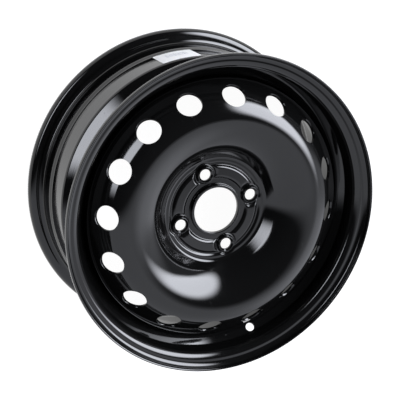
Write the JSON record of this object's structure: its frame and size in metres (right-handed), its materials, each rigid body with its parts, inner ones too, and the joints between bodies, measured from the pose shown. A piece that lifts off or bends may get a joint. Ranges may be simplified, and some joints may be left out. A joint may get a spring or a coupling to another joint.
{
  "type": "steel wheel",
  "caption": "Pressed-steel car wheel: a rolled rim with bead seats and a drop well, welded round a dished disc with a hub bore, bolt seats and round vents.",
  "frame": {"origin": "centre of the wheel on its spin axis, midway between the two rim flanges", "axes": "+Z along the spin axis, pointing outboard, away from the car; +X through the valve hole; the wheel lies on its inboard flange"},
  "size_m": [0.4148, 0.4146, 0.1784],
  "materials": {
    "rim_paint": "gloss black paint over rolled steel sheet",
    "disc_paint": "gloss black paint over pressed steel sheet",
    "weld_paint": "gloss black paint over rippled weld metal",
    "label_paper": "white coated paper label"
  },
  "bodies": {
    "root": {"rim": "rim_paint", "disc": "disc_paint", "weld_beads": "weld_paint", "label": "label_paper"}
  },
  "joints": []
}
